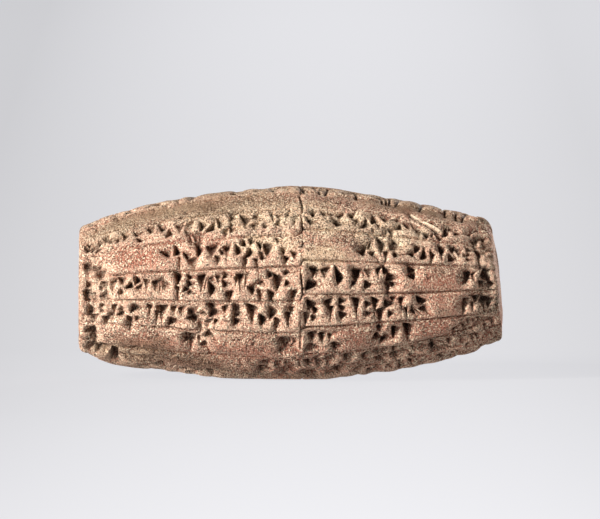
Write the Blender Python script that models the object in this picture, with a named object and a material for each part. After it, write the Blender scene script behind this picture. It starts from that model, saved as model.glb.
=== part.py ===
"""A clay barrel cylinder with two columns of ruled rows, filled with shallow wedge strokes.

It lies along X on a small flat under its belly, with Z up. The written front that faces -Y is
angle 0, and angles grow upwards over the top. All lengths are in metres and angles in degrees.
"""

import math
import random

import bmesh
import bpy
from mathutils import Matrix, Vector

# Overall form. The belly's place is measured from the middle of the barrel.
BARREL_LENGTH = 0.112
BELLY_DIAMETER = 0.0511
BELLY_PLACE = 0.0022
LEFT_END_DIAMETER = 0.0347
RIGHT_END_DIAMETER = 0.0314
LEFT_SWELL = 1.64
RIGHT_SWELL = 1.44
LEFT_DROOP = 0.0016
HAND_WAVER = 0.00028
FLAT_DEPTH = 0.0005

# Ends
LEFT_SHOULDER_LENGTH = 0.0104
LEFT_SHOULDER_DROP = 0.0012
RIGHT_SHOULDER_LENGTH = 0.009
RIGHT_SHOULDER_DROP = 0.0016
LEFT_CORNER = 0.0022
RIGHT_CORNER = 0.0030
RIGHT_FACE_BULGE = 0.0009
RIGHT_CROWN_DROP = 0.0110

# Ruled rows run round the barrel from the first ruling downwards, back to the blank strip.
ROWS = 17
BLANK_STRIP = 17.3
FIRST_RULING = 53.7
RIGHT_COLUMN_SHIFT = 4.0
RULING_WIDTH = 0.0009
RULING_DEPTH = 0.0005
ROW_BULGE = 0.0003

# Grooves round the barrel
DIVIDER_PLACE = 0.0028
DIVIDER_WIDTH = 0.0012
DIVIDER_DEPTH = 0.0008
MARGIN_INSET = 0.0049
MARGIN_WIDTH = 0.0009
MARGIN_DEPTH = 0.0004

# Wedge strokes
STROKE_DEPTH = 0.0013
STROKE_WIDTH = 0.0028
HEAD_SHARE = 0.22
TIP_LIFT = 0.6
GROUP_GAP = 0.0004
LEAST_STROKE_LENGTH = 0.0026
MAIN_SHARE = 0.7
STROKE_CLEARANCE = 0.7
TIP_CLEARANCE = 2.2
END_CLEARANCE = 0.0022
FLAT_CLEARANCE = 0.0012

# How often a row away from the front has a stretch without strokes, and how long it is.
QUIET_CHANCE = 0.55
QUIET_LENGTH = (0.007, 0.018)
FRONT_ROWS = 6

# Stretches of the front rows left unwritten, as shares of the barrel's length from its middle.
QUIET_STRETCHES = {
    ("left", 1): [(-0.42, -0.296)],
    ("left", 4): [(-0.437, -0.248), (-0.17, -0.025)],
    ("left", 5): [(-0.406, -0.072)],
    ("right", 1): [(0.036, 0.158)],
    ("right", 2): [(0.292, 0.404)],
    ("right", 3): [(0.332, 0.407)],
    ("right", 4): [(0.116, 0.196), (0.304, 0.379)],
}

# Deep marks: start and end as (share of length, angle), then width and depth. The first is the
# long scratch by the right end, and the second the notch at the lower left.
DEEP_MARKS = [
    ((0.285, 62.0), (0.352, 46.5), 0.0009, 0.0006),
    ((-0.415, -51.0), (-0.415, -74.0), 0.0021, 0.0015),
]

# Chips: place along X as a share of the length, angle, length, width and depth.
CHIPS = [
    (-0.355, -60, 0.016, 0.0050, 0.0009),
    (-0.28, -66, 0.022, 0.0042, 0.0007),
    (0.405, -44, 0.017, 0.0046, 0.0008),
    (0.02, -60, 0.014, 0.0060, 0.0008),
    (-0.455, 28, 0.006, 0.0050, 0.0006),
    (0.33, 154, 0.015, 0.0080, 0.0009),
    (-0.40, 209, 0.012, 0.0090, 0.0010),
]
CHIP_ROUNDNESS = 2

# Mesh
BODY_STATIONS = 4
CORNER_STATIONS = 3
STRIP_STATIONS = 2
FACE_STATIONS = 2

CLAY_COLOUR = (0.42, 0.27, 0.20, 1.0)
CLAY_ROUGHNESS = 0.92

HALF_LENGTH = BARREL_LENGTH / 2
BELLY_RADIUS = BELLY_DIAMETER / 2
AXIS_HEIGHT = BELLY_RADIUS - FLAT_DEPTH
MARGIN_PLACE = -HALF_LENGTH + MARGIN_INSET
ROW_PITCH = (360 - BLANK_STRIP) / ROWS


def smooth(value):
    """0 below 0, 1 above 1, and an even S between."""
    value = min(1.0, max(0.0, value))
    return value * value * (3 - 2 * value)


def swell_radius(x):
    """Radius of the barrel's long curve, before its ends are rounded."""
    if x < BELLY_PLACE:
        share = (BELLY_PLACE - x) / (BELLY_PLACE + HALF_LENGTH)
        return BELLY_RADIUS - (BELLY_RADIUS - LEFT_END_DIAMETER / 2) * share**LEFT_SWELL
    share = (x - BELLY_PLACE) / (HALF_LENGTH - BELLY_PLACE)
    return BELLY_RADIUS - (BELLY_RADIUS - RIGHT_END_DIAMETER / 2) * share**RIGHT_SWELL


def body_radius(x):
    """Radius with the narrowing shoulder before each end."""
    x = min(HALF_LENGTH, max(-HALF_LENGTH, x))
    left = (LEFT_SHOULDER_LENGTH - (x + HALF_LENGTH)) / LEFT_SHOULDER_LENGTH
    right = (RIGHT_SHOULDER_LENGTH - (HALF_LENGTH - x)) / RIGHT_SHOULDER_LENGTH
    drop = LEFT_SHOULDER_DROP * smooth(left) + RIGHT_SHOULDER_DROP * smooth(right)
    return swell_radius(x) - drop


def axis_height(x):
    """Height of the section's centre: the left end droops a little below the belly."""
    share = max(0.0, BELLY_PLACE - x) / (BELLY_PLACE + HALF_LENGTH)
    return AXIS_HEIGHT - LEFT_DROOP * share * share


def waver(x, angle):
    """The small unevenness of a hand-rolled barrel."""
    turn = math.radians(angle)
    along = x / BARREL_LENGTH * math.tau
    wave = (
        0.6 * math.sin(2 * turn + 0.9 * along + 0.8)
        + 0.3 * math.sin(3 * turn - 1.7 * along + 2.1)
        + 0.3 * math.sin(5 * turn + 2.3 * along + 4.0)
    )
    return HAND_WAVER * wave


def column_shift(x):
    """How much higher the right column's rulings stand, in degrees."""
    return RIGHT_COLUMN_SHIFT * smooth((x - DIVIDER_PLACE) / DIVIDER_WIDTH + 0.5)


def outward(angle):
    turn = math.radians(angle)
    return Vector((0, -math.cos(turn), math.sin(turn)))


def surface_point(x, angle, lift=0.0):
    """A point of the smooth clay surface, without grooves and strokes."""
    radius = body_radius(x) + waver(x, angle) + lift
    return Vector((x, 0, axis_height(x))) + outward(angle) * radius


def surface_frame(x, angle):
    """Point, direction along the barrel, direction of growing angle, and outward normal."""
    step = BARREL_LENGTH / 400
    along = (surface_point(x + step, angle) - surface_point(x - step, angle)).normalized()
    around = (surface_point(x, angle + 0.5) - surface_point(x, angle - 0.5)).normalized()
    normal = along.cross(around).normalized()
    around = normal.cross(along).normalized()
    return surface_point(x, angle), along, around, normal


def row_lines():
    """(angle, lift) of each line of the mesh that runs along the barrel."""
    half_ruling = math.degrees(RULING_WIDTH / 2 / BELLY_RADIUS)
    lines = []
    for row in range(ROWS + 1):
        ruling = FIRST_RULING - row * ROW_PITCH
        lines.append((ruling + half_ruling, 0.0))
        lines.append((ruling, -RULING_DEPTH))
        lines.append((ruling - half_ruling, 0.0))
        if row < ROWS:
            lines.append((ruling - ROW_PITCH / 2, ROW_BULGE))
    last = FIRST_RULING - ROWS * ROW_PITCH
    for step in range(1, STRIP_STATIONS + 1):
        lines.append((last - BLANK_STRIP * step / (STRIP_STATIONS + 1), 0.0))
    return lines


def between(first, last):
    """Evenly spaced places of plain rings between two others."""
    span = last - first
    return [(first + span * step / (BODY_STATIONS + 1), 0.0) for step in range(1, BODY_STATIONS + 1)]


def groove_rings(place, width, depth):
    return [(place - width / 2, 0.0), (place, -depth), (place + width / 2, 0.0)]


def ring_places():
    """(place, lift) along X of each ring between the rounded corners, left to right."""
    margin = groove_rings(MARGIN_PLACE, MARGIN_WIDTH, MARGIN_DEPTH)
    divider = groove_rings(DIVIDER_PLACE, DIVIDER_WIDTH, DIVIDER_DEPTH)
    first = (-HALF_LENGTH + LEFT_CORNER, 0.0)
    last = (right_face_x(1, 90) - RIGHT_CORNER, 0.0)
    left_column = between(margin[-1][0], divider[0][0])
    right_column = between(divider[-1][0], last[0])
    return [first, *margin, *left_column, *divider, *right_column, last]


def right_face_x(share, angle):
    """Where the bulging right face stands, this share of the end's radius out from the axis.

    The crown of the bulge is below the axis, so that the face leans back towards the top.
    """
    turn = math.radians(angle)
    crown = RIGHT_CROWN_DROP / (RIGHT_END_DIAMETER / 2)
    away = (share * math.sin(turn) + crown) ** 2 + (share * math.cos(turn)) ** 2
    return HALF_LENGTH - RIGHT_FACE_BULGE * away


def left_corner_point(angle, turn):
    """A point on the rounded left corner, from the side at turn 0 to the face at turn 90."""
    radius = body_radius(-HALF_LENGTH + LEFT_CORNER) + waver(-HALF_LENGTH, angle)
    bend = math.radians(turn)
    x = -HALF_LENGTH + LEFT_CORNER * (1 - math.sin(bend))
    radius -= LEFT_CORNER * (1 - math.cos(bend))
    return Vector((x, 0, axis_height(-HALF_LENGTH))) + outward(angle) * radius


def right_corner_point(angle, turn):
    """The same on the right corner."""
    bend = math.radians(turn)
    face = right_face_x(1, angle)
    full = body_radius(face - RIGHT_CORNER) + waver(HALF_LENGTH, angle)
    radius = full - RIGHT_CORNER * (1 - math.cos(bend))
    x = face - RIGHT_CORNER * (1 - math.sin(bend))
    return Vector((x, 0, axis_height(HALF_LENGTH))) + outward(angle) * radius


def right_face_point(angle, share):
    """A point of the right face, this share of the way out to its rounded corner."""
    edge = right_corner_point(angle, 90)
    lift = right_face_x(share, angle) - right_face_x(1, angle)
    centre = Vector((edge.x, 0, axis_height(HALF_LENGTH)))
    return centre.lerp(edge, share) + Vector((lift, 0, 0))


def barrel_mesh():
    """The barrel with its rulings and grooves: a cylinder cut into rings and drawn onto the form."""
    lines = row_lines()
    rings = ring_places()
    turns = [90 * step / CORNER_STATIONS for step in range(1, CORNER_STATIONS + 1)]
    shares = [1 - step / (FACE_STATIONS + 1) for step in range(1, FACE_STATIONS + 1)]
    face_start = len(rings) + 2 * len(turns)
    count = face_start + len(shares)
    bm = bmesh.new()
    bmesh.ops.create_cone(
        bm, cap_ends=True, segments=len(lines), radius1=1, radius2=1, depth=count - 1
    )
    bmesh.ops.translate(bm, verts=bm.verts, vec=(0, 0, (count - 1) / 2))
    for ring in range(1, count - 1):
        geometry = bm.verts[:] + bm.edges[:] + bm.faces[:]
        bmesh.ops.bisect_plane(bm, geom=geometry, plane_co=(0, 0, ring), plane_no=(0, 0, 1))
    slot_turn = math.tau / len(lines)
    first_slot = min(math.atan2(v.co.y, v.co.x) % slot_turn for v in bm.verts)
    for vert in bm.verts:
        turn = math.atan2(vert.co.y, vert.co.x) - first_slot
        slot = round(turn / slot_turn) % len(lines)
        ring = round(vert.co.z)
        angle, lift = lines[slot]
        if ring < len(turns):
            vert.co = left_corner_point(angle, turns[-1 - ring])
        elif ring >= face_start:
            vert.co = right_face_point(angle + RIGHT_COLUMN_SHIFT, shares[ring - face_start])
        elif ring >= face_start - len(turns):
            shifted = angle + RIGHT_COLUMN_SHIFT
            vert.co = right_corner_point(shifted, turns[ring - (face_start - len(turns))])
        else:
            x, ring_lift = rings[ring - len(turns)]
            shifted = angle + column_shift(x)
            vert.co = surface_point(x, shifted, min(lift, ring_lift) if ring_lift else lift)
    geometry = bm.verts[:] + bm.edges[:] + bm.faces[:]
    flat = bmesh.ops.bisect_plane(
        bm, geom=geometry, plane_co=(0, 0, 0), plane_no=(0, 0, 1), clear_inner=True
    )
    open_edges = [g for g in flat["geom_cut"] if isinstance(g, bmesh.types.BMEdge)]
    bmesh.ops.edgeloop_fill(bm, edges=open_edges)
    bmesh.ops.recalc_face_normals(bm, faces=bm.faces)
    mesh = bpy.data.meshes.new("clay_barrel")
    bm.to_mesh(mesh)
    bm.free()
    return mesh


# Each function below makes one kind of stroke group and says how much of the row it takes up.
# A stroke is (along, up, heading, length, share of the full width), measured from the row's
# middle line. The strokes are placed at random in a box, so no group is a sign of any script.


def post_group(chance, height):
    along = chance.uniform(0.06, 0.38) * height
    top = chance.uniform(0.30, 0.40) * height
    drop = chance.uniform(0.58, 0.84) * height
    strokes = [(along, top, chance.uniform(-97, -83), drop, chance.uniform(0.95, 1.15))]
    for _ in range(chance.randint(0, 2) if along > 0.18 * height else 0):
        up = chance.uniform(-0.22, 0.32) * height
        strokes.append((0, up, 0, along + 0.1 * height, 0.6))
    return strokes, along + 0.24 * height


def pair_group(chance, height):
    step = chance.uniform(0.32, 0.46) * height
    strokes = []
    for post in range(chance.choice((2, 2, 3))):
        up = chance.uniform(0.12, 0.40) * height
        drop = up + chance.uniform(0.22, 0.42) * height
        heading = chance.uniform(-102, -78)
        strokes.append((step * post, up, heading, drop, chance.uniform(0.85, 1.15)))
    return strokes, step * len(strokes)


def fan_group(chance, height):
    step = chance.uniform(0.30, 0.40) * height
    low = chance.uniform(-0.30, -0.12) * height
    strokes = [(0, low, 0, 2.3 * step, 0.9)]
    for post in range(2):
        up = chance.uniform(0.30, 0.40) * height
        strokes.append((step * (post + 0.6), up, -90, 0.42 * height, 0.85))
    return strokes, 2.4 * step


def corner_group(chance, height):
    strokes = []
    along = 0
    for _ in range(chance.randint(1, 3)):
        up = chance.uniform(-0.14, 0.36) * height
        share = chance.uniform(1.05, 1.30)
        strokes.append((along, up, chance.uniform(-40, 40), 0.42 * height, share))
        along += chance.uniform(0.29, 0.39) * height
    return strokes, along + 0.10 * height


def stack_group(chance, height):
    reach = chance.uniform(0.40, 0.60) * height
    count = chance.randint(2, 3)
    strokes = [(0, (0.34 - 0.26 * level) * height, 0, reach, 0.72) for level in range(count)]
    strokes.append((reach + 0.08 * height, 0.40 * height, -90, 0.74 * height, 0.95))
    return strokes, reach + 0.30 * height


def slant_group(chance, height):
    heading = chance.choice((-50, -38, 38, 50))
    up = -0.22 * height if heading > 0 else 0.38 * height
    strokes = [(0.05 * height, up, heading, chance.uniform(0.60, 0.78) * height, 0.95)]
    strokes.append((0.36 * height, -up * 0.4, -heading * 0.6, 0.40 * height, 0.7))
    return strokes, 0.62 * height


def long_group(chance, height):
    reach = chance.uniform(0.70, 1.10) * height
    strokes = [(0, chance.uniform(0.02, 0.24) * height, 0, reach, 1.0)]
    strokes.append((0.15 * height, -0.22 * height, 0, reach * 0.7, 0.72))
    if chance.random() < 0.6:
        strokes.append((reach * 0.75, 0.38 * height, -90, 0.5 * height, 0.8))
    return strokes, reach + 0.08 * height


# Kinds of stroke groups, each as often as it is named here.
GROUPS = (
    *(post_group, post_group, corner_group, corner_group, corner_group),
    *(pair_group, fan_group, slant_group, stack_group, long_group),
)


def column_span(column):
    if column == "left":
        return MARGIN_PLACE + MARGIN_WIDTH, DIVIDER_PLACE - DIVIDER_WIDTH
    return DIVIDER_PLACE + DIVIDER_WIDTH, right_face_x(1, 90) - END_CLEARANCE


def quiet_stretches(column, row, chance):
    """Unwritten stretches of this row, in metres."""
    if row < FRONT_ROWS:
        shares = QUIET_STRETCHES.get((column, row), [])
        return [(a * BARREL_LENGTH, b * BARREL_LENGTH) for a, b in shares]
    if chance.random() > QUIET_CHANCE:
        return []
    low, high = column_span(column)
    length = chance.uniform(*QUIET_LENGTH)
    place = chance.uniform(low, high - length)
    return [(place, place + length)]


def row_height(x):
    """Height of the writing in a row at this place, between two rulings."""
    return math.radians(ROW_PITCH) * body_radius(x) - RULING_WIDTH


def row_strokes(column, row):
    """Every stroke of one row: x, angle, heading, length and width, and whether it is a large one."""
    chance = random.Random(f"{column} row {row}")
    low, high = column_span(column)
    quiet = quiet_stretches(column, row, chance)
    middle = FIRST_RULING - (row + 0.5) * ROW_PITCH
    found = []
    x = low + chance.uniform(0, 1) * GROUP_GAP
    while True:
        height = row_height(x)
        strokes, width = chance.choice(GROUPS)(chance, height)
        if x + width > high:
            return found
        blocked = [b for a, b in quiet if a - width < x < b]
        if blocked:
            x = max(blocked)
            quiet = [(a, b) for a, b in quiet if b > x]
            continue
        for along, up, heading, length, share in strokes:
            place = x + along
            angle = middle + column_shift(place) + math.degrees(up / body_radius(x))
            stroke_width = STROKE_WIDTH * share * height / row_height(BELLY_PLACE)
            found.append((place, angle, heading, length, stroke_width, share >= MAIN_SHARE))
        x += width + chance.uniform(0.3, 1.3) * GROUP_GAP


def spots(x, angle, heading, length, width):
    """Points along a stroke, each with half the stroke's width there."""
    point, along, around, _ = surface_frame(x, angle)
    turn = math.radians(heading)
    tail = point + (along * math.cos(turn) + around * math.sin(turn)) * length
    shares = [step / 5 for step in range(6)]
    return [(point.lerp(tail, share), width / 2 * (1 - share)) for share in shares]


def meet(ones, others, share):
    """Whether two strokes come closer than this share of their widths."""
    return any((p - q).length < share * (a + b) for p, a in ones for q, b in others)


def main_strokes():
    """The large strokes, left out where they would run into each other or the flat."""
    kept = []
    for column in ("left", "right"):
        for row in range(ROWS):
            for *stroke, large in row_strokes(column, row):
                length = stroke[3]
                if not large or length < LEAST_STROKE_LENGTH:
                    continue
                places = spots(*stroke)
                if any(point.z < FLAT_CLEARANCE for point, _ in places):
                    continue
                if not any(meet(places, others, STROKE_CLEARANCE) for others, _ in kept):
                    kept.append((places, stroke))
    return kept


def stroke_batches():
    """The large strokes in batches, none of whose tips touch inside one batch."""
    batches = []
    for places, stroke in main_strokes():
        for batch in batches:
            if not any(meet(places, others, TIP_CLEARANCE) for others, _ in batch):
                batch.append((places, stroke))
                break
        else:
            batches.append([(places, stroke)])
    return [[stroke for _, stroke in batch] for batch in batches]


def tip_shape(bm):
    """The stylus tip: a three-sided point whose cut is one unit long, wide and deep at the surface."""
    made = bmesh.ops.create_cone(bm, cap_ends=True, segments=3, radius1=1, radius2=0, depth=1)
    apex = max(made["verts"], key=lambda v: v.co.z)
    rim = [v for v in made["verts"] if v is not apex]
    rim.sort(key=lambda v: math.atan2(v.co.y, v.co.x))
    point = Vector((HEAD_SHARE, 0, -1))
    corners = (Vector((0, -0.5, 0)), Vector((1, 0, 0)), Vector((0, 0.5, 0)))
    apex.co = point
    for vert, corner in zip(rim, corners):
        vert.co = point + (corner - point) * (1 + TIP_LIFT)
    bmesh.ops.recalc_face_normals(bm, faces=bm.faces)
    return made["verts"]


def press(bm, tip, x, angle, heading, size):
    """A copy of the tip pressed into the surface, its tail pointing along the heading."""
    point, along, around, normal = surface_frame(x, angle)
    turn = math.radians(heading)
    tail = along * math.cos(turn) + around * math.sin(turn)
    side = normal.cross(tail)
    placed = Matrix.Translation(point) @ Matrix((tail, side, normal)).transposed().to_4x4()
    sized = placed @ Matrix.Diagonal((*size, 1))
    faces = {face for vert in tip for face in vert.link_faces}
    edges = {edge for vert in tip for edge in vert.link_edges}
    copied = bmesh.ops.duplicate(bm, geom=[*tip, *edges, *faces])
    verts = [g for g in copied["geom"] if isinstance(g, bmesh.types.BMVert)]
    bmesh.ops.transform(bm, matrix=sized, verts=verts)


def cutter_object(name, bm, collection):
    mesh = bpy.data.meshes.new(name)
    bm.to_mesh(mesh)
    bm.free()
    cutter = bpy.data.objects.new(name, mesh)
    cutter.hide_render = True
    cutter.display_type = "WIRE"
    collection.objects.link(cutter)
    return cutter


def tips_cutter(name, presses, collection):
    """A cutter of stylus tips, one for each (x, angle, heading, (length, width, depth))."""
    bm = bmesh.new()
    tip = tip_shape(bm)
    for x, angle, heading, size in presses:
        press(bm, tip, x, angle, heading, size)
    bmesh.ops.delete(bm, geom=tip, context="VERTS")
    return cutter_object(name, bm, collection)


def stroke_cutters(collection):
    """The large strokes, as a few cutters whose tips don't touch each other."""
    cutters = []
    for number, batch in enumerate(stroke_batches()):
        presses = []
        for x, angle, heading, length, width in batch:
            depth = STROKE_DEPTH * min(1.0, width / STROKE_WIDTH)
            presses.append((x, angle, heading, (length, width, depth)))
        cutters.append(tips_cutter(f"stroke_cutter_{number}", presses, collection))
    return cutters


def mark_cutter(collection):
    """The straight scratch near the right end and the notch at the lower left."""
    presses = []
    for (start, start_angle), (end, end_angle), width, depth in DEEP_MARKS:
        x = start * BARREL_LENGTH
        reach = (end - start) * BARREL_LENGTH
        rise = math.radians(end_angle - start_angle) * body_radius(x)
        heading = math.degrees(math.atan2(rise, reach))
        presses.append((x, start_angle, heading, (math.hypot(reach, rise), width, depth)))
    return tips_cutter("mark_cutter", presses, collection)


def chip_cutters(collection):
    """Shallow scoops where the surface has flaked away."""
    cutters = []
    for number, (share, angle, length, width, depth) in enumerate(CHIPS):
        point, along, around, normal = surface_frame(share * BARREL_LENGTH, angle)
        bm = bmesh.new()
        bmesh.ops.create_icosphere(bm, subdivisions=2, radius=1)
        radius = depth * CHIP_ROUNDNESS
        centre = point + normal * (radius - depth)
        turned = Matrix((along, around, normal)).transposed().to_4x4()
        sized = Matrix.Diagonal((length / 2, width / 2, radius, 1))
        bmesh.ops.transform(bm, matrix=Matrix.Translation(centre) @ turned @ sized, verts=bm.verts)
        cutters.append(cutter_object(f"chip_cutter_{number}", bm, collection))
    return cutters


def cut(obj, cutter):
    modifier = obj.modifiers.new(cutter.name, "BOOLEAN")
    modifier.operation = "DIFFERENCE"
    modifier.solver = "EXACT"
    modifier.object = cutter


def clay_material():
    material = bpy.data.materials.new("clay")
    material.use_nodes = True
    shader = material.node_tree.nodes["Principled BSDF"]
    shader.inputs["Base Color"].default_value = CLAY_COLOUR
    shader.inputs["Roughness"].default_value = CLAY_ROUGHNESS
    shader.inputs["Metallic"].default_value = 0.0
    return material


def new_collection(name):
    collection = bpy.data.collections.new(name)
    bpy.context.scene.collection.children.link(collection)
    return collection


def main():
    for obj in list(bpy.data.objects):
        bpy.data.objects.remove(obj)
    parts = new_collection("cuneiform_cylinder")
    cutters = new_collection("cutters")
    barrel = bpy.data.objects.new("clay_barrel", barrel_mesh())
    barrel.data.materials.append(clay_material())
    parts.objects.link(barrel)
    for cutter in [*stroke_cutters(cutters), mark_cutter(cutters), *chip_cutters(cutters)]:
        cut(barrel, cutter)


main()
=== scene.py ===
import math
import random

import bpy
import numpy as np
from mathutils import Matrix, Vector


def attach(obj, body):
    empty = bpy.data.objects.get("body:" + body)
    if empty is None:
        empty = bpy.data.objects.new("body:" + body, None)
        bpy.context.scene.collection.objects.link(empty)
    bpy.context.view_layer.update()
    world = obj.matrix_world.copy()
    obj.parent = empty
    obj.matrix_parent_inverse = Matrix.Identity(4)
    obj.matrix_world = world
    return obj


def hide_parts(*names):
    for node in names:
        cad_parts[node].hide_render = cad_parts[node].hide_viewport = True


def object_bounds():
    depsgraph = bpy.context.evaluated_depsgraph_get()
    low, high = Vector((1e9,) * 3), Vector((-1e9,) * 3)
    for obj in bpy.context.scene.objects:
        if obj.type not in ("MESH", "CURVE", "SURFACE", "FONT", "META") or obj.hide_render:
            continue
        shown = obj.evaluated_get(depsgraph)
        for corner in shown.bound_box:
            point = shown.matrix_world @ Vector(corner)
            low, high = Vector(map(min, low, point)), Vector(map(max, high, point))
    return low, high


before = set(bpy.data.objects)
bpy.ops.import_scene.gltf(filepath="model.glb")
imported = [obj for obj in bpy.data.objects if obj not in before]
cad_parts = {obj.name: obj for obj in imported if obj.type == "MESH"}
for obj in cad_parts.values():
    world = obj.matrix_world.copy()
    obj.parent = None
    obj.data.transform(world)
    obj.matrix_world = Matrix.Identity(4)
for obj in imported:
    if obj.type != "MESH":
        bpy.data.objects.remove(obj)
cadLow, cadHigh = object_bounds()

print("Frame loaded")


class Wire:  # an output socket that takes part in sums like a number
    def __init__(self, shader, socket):
        self.shader = shader
        self.socket = socket

    def combine(self, operation, first, second):
        return self.shader.add("Math", {"operation": operation}, {0: first, 1: second})

    def __add__(self, other):
        return self.combine("ADD", self, other)

    def __radd__(self, other):
        return self.combine("ADD", other, self)

    def __sub__(self, other):
        return self.combine("SUBTRACT", self, other)

    def __rsub__(self, other):
        return self.combine("SUBTRACT", other, self)

    def __mul__(self, other):
        return self.combine("MULTIPLY", self, other)

    def __rmul__(self, other):
        return self.combine("MULTIPLY", other, self)


class Shader:  # the node tree of one material
    def __init__(self, name):
        self.material = bpy.data.materials.new(name)
        self.material.use_nodes = True
        self.tree = self.material.node_tree
        self.surface = self.tree.nodes["Principled BSDF"]

    def plug(self, node, sockets):
        for name, value in sockets.items():
            if isinstance(value, Wire):
                self.tree.links.new(value.socket, node.inputs[name])
            else:
                node.inputs[name].default_value = value

    def add(self, kind, settings, sockets, output=0):
        node = self.tree.nodes.new("ShaderNode" + kind)
        for name, value in settings.items():
            setattr(node, name, value)
        self.plug(node, sockets)
        return Wire(self, node.outputs[output])

    def noise(self, place, size, detail, roughness):
        sockets = {"Vector": place, "Scale": 1 / size, "Detail": detail, "Roughness": roughness}
        return self.add("TexNoise", {"noise_dimensions": "3D"}, sockets)

    def ramp(self, value, low, high):  # 0 at low and 1 at high, evenly between
        sockets = {"Value": value, "From Min": low, "From Max": high}
        return self.add("MapRange", {"clamp": True}, sockets)

    def stops(self, value, stops):  # a colour for each value, evenly between the stops
        wire = self.add("ValToRGB", {}, {"Fac": value})
        elements = wire.socket.node.color_ramp.elements
        while len(elements) < len(stops):
            elements.new(0.5)
        for element, (place, colour) in zip(elements, stops):
            element.position = place
            element.color = colour
        return wire

    def blend(self, share, first, second):
        sockets = {0: share, 6: first, 7: second}
        return self.add("Mix", {"data_type": "RGBA"}, sockets, 2)

    def attribute(self, name):
        return self.add("Attribute", {"attribute_name": name}, {}, "Fac")


def rgb(red, green, blue):  # a display colour from 0 to 255, as the shader's linear one
    def linear(value):
        value /= 255
        return value / 12.92 if value < 0.04045 else ((value + 0.055) / 1.055) ** 2.4

    return (linear(red), linear(green), linear(blue), 1.0)


# The barrel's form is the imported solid's. Angle 0 faces the written front (-Y), and angles grow
# over the top.

barrel = {
    "halfLength": -cadLow.x,
    "bellyRadius": 0.02555,
    "bellyPlace": 0.0022,  # along X
    "meanRadius": 0.9,  # as a share of the belly's
    "leastRadius": 0.001,  # keeps the sums at the poles finite
    "leftEndRadius": 0.01735,
    "rightEndRadius": 0.0157,
    "leftSwell": 1.64,  # how round the outline is from the belly to each end: 1 is straight
    "rightSwell": 1.44,
    "leftDroop": 0.0016,  # how far the axis sinks towards the left end
    "waver": 0.00028,
    # the waver of a hand-rolled barrel: share, waves round it, twist along it, and phase
    "waves": [(0.6, 2, 0.9, 0.8), (0.3, 3, -1.7, 2.1), (0.3, 5, 2.3, 4.0)],
    "flatDepth": 0.0005,  # how deep the small flat cuts into the belly
    "leftShoulder": (0.0104, 0.0012),  # length and drop
    "rightShoulder": (0.009, 0.0016),
    "leftCorner": 0.0022,
    "rightCorner": (0.0018, 0.0042),  # round the sides and below, and at the top
    "faceBulge": 0.0009,  # how far the right face falls back, one radius away from its crown
    "crownDrop": 0.0110,  # how far the crown is below the axis
    "edgeRelief": 0.05,  # the share of the relief that is left at the ends' outlines
}
halfLength = barrel["halfLength"]


def smoothStep(value):
    value = np.clip(value, 0, 1)
    return value * value * (3 - 2 * value)


def bodyRadius(x):
    x = np.clip(x, -halfLength, halfLength)
    belly, place = barrel["bellyRadius"], barrel["bellyPlace"]
    leftShare = np.clip((place - x) / (place + halfLength), 0, 1)
    rightShare = np.clip((x - place) / (halfLength - place), 0, 1)
    radius = belly - (belly - barrel["leftEndRadius"]) * leftShare ** barrel["leftSwell"]
    radius -= (belly - barrel["rightEndRadius"]) * rightShare ** barrel["rightSwell"]
    leftLength, leftDrop = barrel["leftShoulder"]
    rightLength, rightDrop = barrel["rightShoulder"]
    radius -= leftDrop * smoothStep(1 - (x + halfLength) / leftLength)
    return radius - rightDrop * smoothStep(1 - (halfLength - x) / rightLength)


def axisHeight(x):
    place = barrel["bellyPlace"]
    share = np.maximum(0, place - x) / (place + halfLength)
    return barrel["bellyRadius"] - barrel["flatDepth"] - barrel["leftDroop"] * share * share


# Where the bulging right face stands, this share of the end's radius out from the axis
def rightFace(share, turn):
    crown = barrel["crownDrop"] / barrel["rightEndRadius"]
    away = (share * np.sin(turn) + crown) ** 2 + (share * np.cos(turn)) ** 2
    return halfLength - barrel["faceBulge"] * away


def waver(x, turn):
    along = x / (2 * halfLength) * math.tau
    wave = 0
    for share, waves, twist, phase in barrel["waves"]:
        wave = wave + share * np.sin(waves * turn + twist * along + phase)
    return barrel["waver"] * wave


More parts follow.
